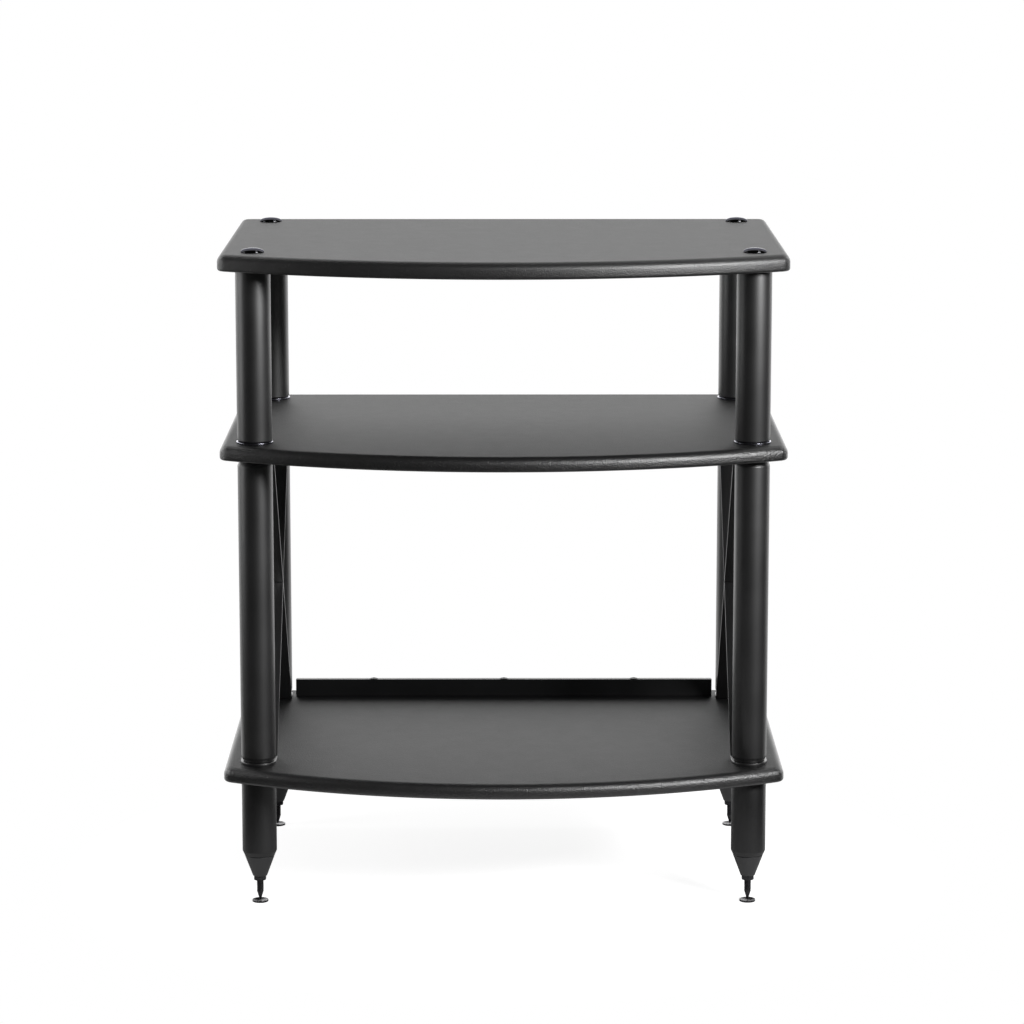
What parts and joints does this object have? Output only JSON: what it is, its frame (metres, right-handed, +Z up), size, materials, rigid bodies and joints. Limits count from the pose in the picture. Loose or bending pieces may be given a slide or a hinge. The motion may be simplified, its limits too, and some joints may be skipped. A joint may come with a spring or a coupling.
{
  "type": "record player stand",
  "caption": "Open stand with bow-fronted shelves on tubular posts, crossed side braces, a rear record stop and levelling spike feet.",
  "frame": {"origin": "centre of the bounding box's bottom, on the floor under the four floor discs", "axes": "+Z up; the bowed front edge of the shelves faces -Y; +X to the right seen from the front"},
  "size_m": [0.614, 0.462, 0.7269],
  "materials": {
    "shelf": "black board with a fine pebbled skin, satin",
    "tube": "satin black fine-texture coat",
    "ring": "polished",
    "brace": "satin black",
    "stop": "satin black",
    "bolt": "gloss black",
    "stud": "zinc plated",
    "cone": "satin black",
    "foot": "blackened, semi gloss"
  },
  "bodies": {
    "stand_frame": {"top_shelf": "shelf", "middle_shelf": "shelf", "bottom_shelf": "shelf", "upper_post_front_left": "tube", "upper_post_front_right": "tube", "upper_post_rear_left": "tube", "upper_post_rear_right": "tube", "lower_post_front_left": "tube", "lower_post_front_right": "tube", "lower_post_rear_left": "tube", "lower_post_rear_right": "tube", "leg_front_left": "tube", "leg_front_right": "tube", "leg_rear_left": "tube", "leg_rear_right": "tube", "post_ring_front_left": "ring", "post_ring_front_right": "ring", "post_ring_rear_left": "ring", "post_ring_rear_right": "ring", "left_brace_rising_back": "brace", "left_brace_rising_front": "brace", "right_brace_rising_back": "brace", "right_brace_rising_front": "brace", "record_stop": "stop", "record_stop_screw_left": "stop", "record_stop_screw_middle": "stop", "record_stop_screw_right": "stop", "dome_bolt_front_left": "bolt", "dome_bolt_front_right": "bolt", "dome_bolt_rear_left": "bolt", "dome_bolt_rear_right": "bolt", "middle_stud_front_left": "stud", "middle_stud_front_right": "stud", "middle_stud_rear_left": "stud", "middle_stud_rear_right": "stud", "bottom_stud_front_left": "stud", "bottom_stud_front_right": "stud", "bottom_stud_rear_left": "stud", "bottom_stud_rear_right": "stud", "foot_cone_front_left": "cone", "foot_cone_front_right": "cone", "foot_cone_rear_left": "cone", "foot_cone_rear_right": "cone"},
    "disc_front_left": {"floor_disc_front_left": "foot"},
    "disc_front_right": {"floor_disc_front_right": "foot"},
    "disc_rear_left": {"floor_disc_rear_left": "foot"},
    "disc_rear_right": {"floor_disc_rear_right": "foot"},
    "screw_front_left": {"spike_front_left": "foot"},
    "screw_front_right": {"spike_front_right": "foot"},
    "screw_rear_left": {"spike_rear_left": "foot"},
    "screw_rear_right": {"spike_rear_right": "foot"},
    "nut_front_left": {"jam_nut_front_left": "foot"},
    "nut_front_right": {"jam_nut_front_right": "foot"},
    "nut_rear_left": {"jam_nut_rear_left": "foot"},
    "nut_rear_right": {"jam_nut_rear_right": "foot"}
  },
  "joints": [
    {"name": "level_front_left", "type": "slide", "parent": "stand_frame", "child": "disc_front_left", "axis": [0, 0, 1], "range_m": [-0.015, 0.01]},
    {"name": "level_front_right", "type": "slide", "parent": "stand_frame", "child": "disc_front_right", "axis": [0, 0, 1], "range_m": [-0.015, 0.01]},
    {"name": "level_rear_left", "type": "slide", "parent": "stand_frame", "child": "disc_rear_left", "axis": [0, 0, 1], "range_m": [-0.015, 0.01]},
    {"name": "level_rear_right", "type": "slide", "parent": "stand_frame", "child": "disc_rear_right", "axis": [0, 0, 1], "range_m": [-0.015, 0.01]},
    {"name": "spike_turn_front_left", "type": "hinge", "parent": "disc_front_left", "child": "screw_front_left", "pos_m": [-0.27, -0.128, 0.03], "axis": [0, 0, 1], "range_deg": [-4325, 2885]},
    {"name": "spike_turn_front_right", "type": "hinge", "parent": "disc_front_right", "child": "screw_front_right", "pos_m": [0.27, -0.128, 0.03], "axis": [0, 0, 1], "range_deg": [-4325, 2885]},
    {"name": "spike_turn_rear_left", "type": "hinge", "parent": "disc_rear_left", "child": "screw_rear_left", "pos_m": [-0.27, 0.196, 0.03], "axis": [0, 0, 1], "range_deg": [-4325, 2885]},
    {"name": "spike_turn_rear_right", "type": "hinge", "parent": "disc_rear_right", "child": "screw_rear_right", "pos_m": [0.27, 0.196, 0.03], "axis": [0, 0, 1], "range_deg": [-4325, 2885]},
    {"name": "nut_turn_front_left", "type": "hinge", "parent": "stand_frame", "child": "nut_front_left", "pos_m": [-0.27, -0.128, 0.02715], "axis": [0, 0, 1], "range_deg": [0, 360]},
    {"name": "nut_turn_front_right", "type": "hinge", "parent": "stand_frame", "child": "nut_front_right", "pos_m": [0.27, -0.128, 0.02715], "axis": [0, 0, 1], "range_deg": [0, 360]},
    {"name": "nut_turn_rear_left", "type": "hinge", "parent": "stand_frame", "child": "nut_rear_left", "pos_m": [-0.27, 0.196, 0.02715], "axis": [0, 0, 1], "range_deg": [0, 360]},
    {"name": "nut_turn_rear_right", "type": "hinge", "parent": "stand_frame", "child": "nut_rear_right", "pos_m": [0.27, 0.196, 0.02715], "axis": [0, 0, 1], "range_deg": [0, 360]}
  ],
  "couplings": [
    {"joint": "spike_turn_front_left", "follows": "level_front_left", "rad_per_m": 5026.5},
    {"joint": "spike_turn_front_right", "follows": "level_front_right", "rad_per_m": 5026.5},
    {"joint": "spike_turn_rear_left", "follows": "level_rear_left", "rad_per_m": 5026.5},
    {"joint": "spike_turn_rear_right", "follows": "level_rear_right", "rad_per_m": 5026.5}
  ]
}
